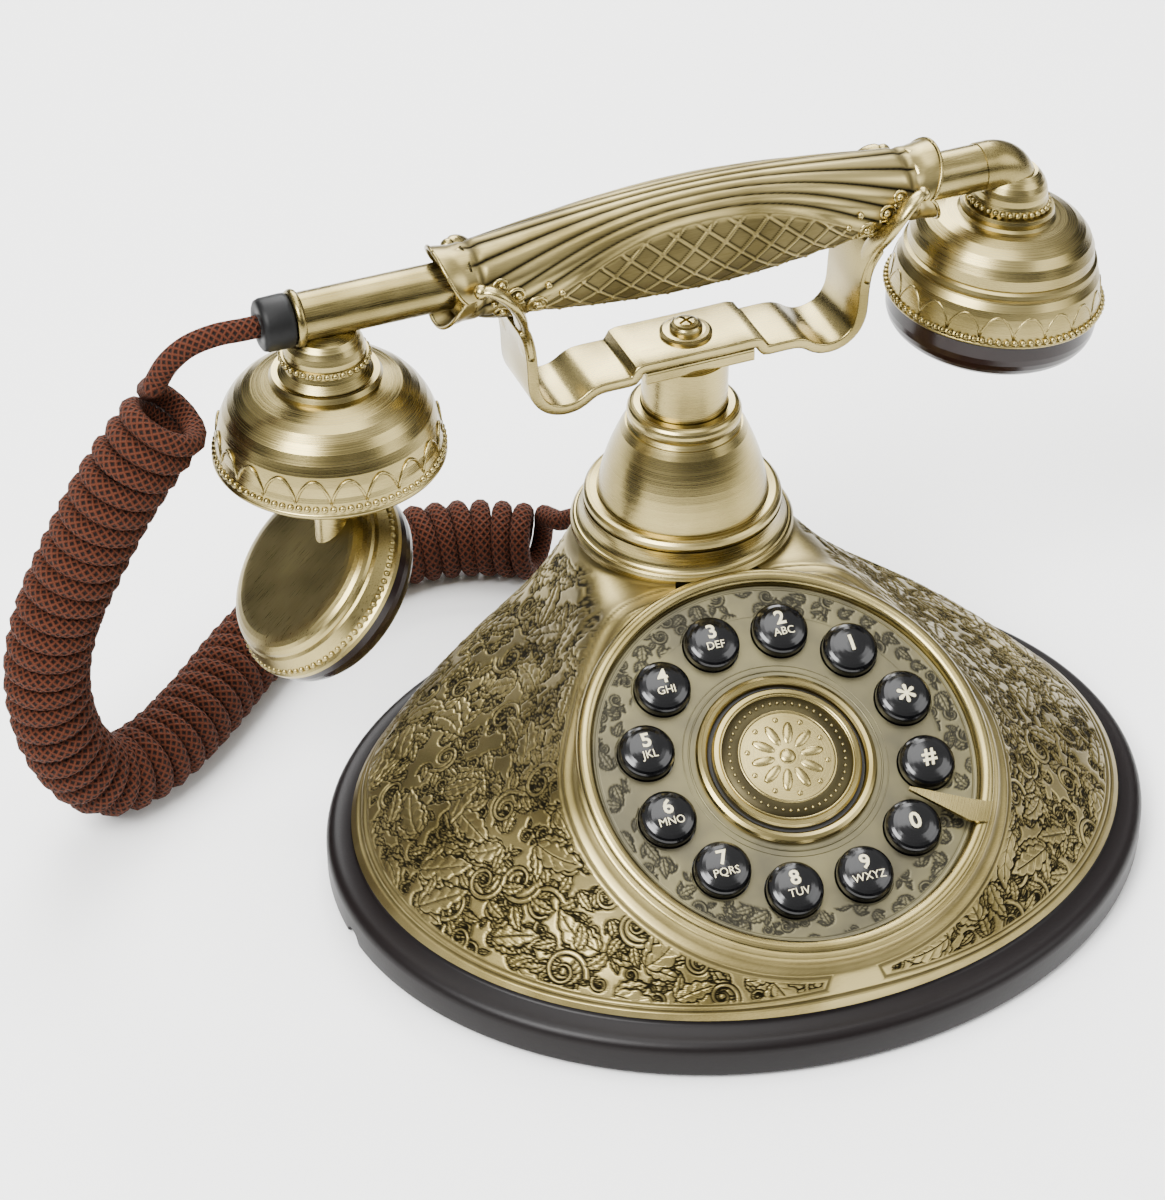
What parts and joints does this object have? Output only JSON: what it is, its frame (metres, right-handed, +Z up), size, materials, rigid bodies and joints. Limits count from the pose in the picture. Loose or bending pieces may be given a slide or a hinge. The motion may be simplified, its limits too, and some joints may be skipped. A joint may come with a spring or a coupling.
{
  "type": "cradle telephone",
  "caption": "Antique-brass desk telephone: oval body on a dark plinth, push-button dial, column with a sprung cradle, two-bell handset and a curly cord.",
  "frame": {"origin": "on the floor, under the middle of the oval plinth", "axes": "+Z up, the dial faces -Y, X runs along the plinth's width and roughly along the handset, earpiece towards +X"},
  "size_m": [0.3097, 0.243, 0.1783],
  "materials": {
    "brass_engraved": "cast relief, brushed, dark patina in the recesses",
    "brass_plain": "antique brass, brushed round the axis",
    "pewter_plate": "pewter-grey, satin, engraved border",
    "key_gloss": "black, glossy, printed legends",
    "plinth_satin": "black-brown, satin",
    "cap_dark": "black-brown, semi-gloss",
    "cover_black": "moulded, matt",
    "plastic_black": "moulded, matt",
    "rubber_black": "moulded",
    "rubber_grey": "moulded",
    "board_green": "laminate",
    "steel_plain": "zinc plated",
    "iron_weight": "as cast",
    "cord_braid": "red-brown braid"
  },
  "bodies": {
    "base": {"base_plinth": "plinth_satin", "base_cover": "cover_black", "rubber_feet": "rubber_black", "base_screws": "steel_plain", "body_shell": "brass_engraved", "dial_plate": "pewter_plate", "dial_ring": "brass_plain", "medallion": "brass_plain", "finger_stop": "brass_plain", "key_mat": "rubber_grey", "key_board": "board_green", "key_board_screws": "steel_plain", "main_board": "board_green", "counterweight": "iron_weight", "ringer": "plastic_black", "line_socket": "plastic_black", "column_collar": "brass_plain", "column_cone": "brass_plain", "column_ring": "brass_plain", "stem_bush": "plastic_black", "spring_seat": "steel_plain", "hook_switch": "plastic_black", "cradle_spring": "steel_plain", "cord_gland": "rubber_black", "handset_cord_curl": "cord_braid", "handset_cord_base": "cord_braid"},
    "handset": {"handset_tube": "brass_plain", "handset_grip": "brass_engraved", "tube_end_ring": "brass_plain", "cord_boot": "rubber_black", "ear_elbow": "brass_plain", "ear_shell": "brass_plain", "ear_cap": "cap_dark", "receiver_unit": "steel_plain", "mouth_neck": "brass_plain", "mouth_bell": "brass_plain", "transmitter_bracket": "brass_plain", "transmitter_shell": "brass_plain", "transmitter_cap": "cap_dark", "microphone_unit": "steel_plain", "handset_cord_top": "cord_braid"},
    "cradle": {"cradle_stem": "brass_plain", "cradle_strip": "brass_plain", "cradle_washer": "brass_plain", "cradle_screw": "brass_plain"},
    "key_1_press": {"key_1": "key_gloss"},
    "key_2_press": {"key_2": "key_gloss"},
    "key_3_press": {"key_3": "key_gloss"},
    "key_4_press": {"key_4": "key_gloss"},
    "key_5_press": {"key_5": "key_gloss"},
    "key_6_press": {"key_6": "key_gloss"},
    "key_7_press": {"key_7": "key_gloss"},
    "key_8_press": {"key_8": "key_gloss"},
    "key_9_press": {"key_9": "key_gloss"},
    "key_0_press": {"key_0": "key_gloss"},
    "key_star_press": {"key_star": "key_gloss"},
    "key_hash_press": {"key_hash": "key_gloss"}
  },
  "joints": [
    {"name": "handset_lift", "type": "slide", "parent": "base", "child": "handset", "axis": [0, 0, 1], "range_m": [0, 0.06]},
    {"name": "cradle_rise", "type": "slide", "parent": "base", "child": "cradle", "axis": [0, 0, 1], "range_m": [0, 0.004], "deforming": ["cradle_spring"]},
    {"name": "key_1_slide", "type": "slide", "parent": "base", "child": "key_1_press", "axis": [0, 0.4384, -0.8988], "range_m": [0, 0.0015], "stiffness_N_per_m": 250, "springref_m": -0.0012},
    {"name": "key_2_slide", "type": "slide", "parent": "base", "child": "key_2_press", "axis": [0, 0.4384, -0.8988], "range_m": [0, 0.0015], "stiffness_N_per_m": 250, "springref_m": -0.0012},
    {"name": "key_3_slide", "type": "slide", "parent": "base", "child": "key_3_press", "axis": [0, 0.4384, -0.8988], "range_m": [0, 0.0015], "stiffness_N_per_m": 250, "springref_m": -0.0012},
    {"name": "key_4_slide", "type": "slide", "parent": "base", "child": "key_4_press", "axis": [0, 0.4384, -0.8988], "range_m": [0, 0.0015], "stiffness_N_per_m": 250, "springref_m": -0.0012},
    {"name": "key_5_slide", "type": "slide", "parent": "base", "child": "key_5_press", "axis": [0, 0.4384, -0.8988], "range_m": [0, 0.0015], "stiffness_N_per_m": 250, "springref_m": -0.0012},
    {"name": "key_6_slide", "type": "slide", "parent": "base", "child": "key_6_press", "axis": [0, 0.4384, -0.8988], "range_m": [0, 0.0015], "stiffness_N_per_m": 250, "springref_m": -0.0012},
    {"name": "key_7_slide", "type": "slide", "parent": "base", "child": "key_7_press", "axis": [0, 0.4384, -0.8988], "range_m": [0, 0.0015], "stiffness_N_per_m": 250, "springref_m": -0.0012},
    {"name": "key_8_slide", "type": "slide", "parent": "base", "child": "key_8_press", "axis": [0, 0.4384, -0.8988], "range_m": [0, 0.0015], "stiffness_N_per_m": 250, "springref_m": -0.0012},
    {"name": "key_9_slide", "type": "slide", "parent": "base", "child": "key_9_press", "axis": [0, 0.4384, -0.8988], "range_m": [0, 0.0015], "stiffness_N_per_m": 250, "springref_m": -0.0012},
    {"name": "key_0_slide", "type": "slide", "parent": "base", "child": "key_0_press", "axis": [0, 0.4384, -0.8988], "range_m": [0, 0.0015], "stiffness_N_per_m": 250, "springref_m": -0.0012},
    {"name": "key_star_slide", "type": "slide", "parent": "base", "child": "key_star_press", "axis": [0, 0.4384, -0.8988], "range_m": [0, 0.0015], "stiffness_N_per_m": 250, "springref_m": -0.0012},
    {"name": "key_hash_slide", "type": "slide", "parent": "base", "child": "key_hash_press", "axis": [0, 0.4384, -0.8988], "range_m": [0, 0.0015], "stiffness_N_per_m": 250, "springref_m": -0.0012}
  ],
  "couplings": [
    {"joint": "cradle_rise", "follows": "handset_lift", "ratio": 0.0666}
  ]
}
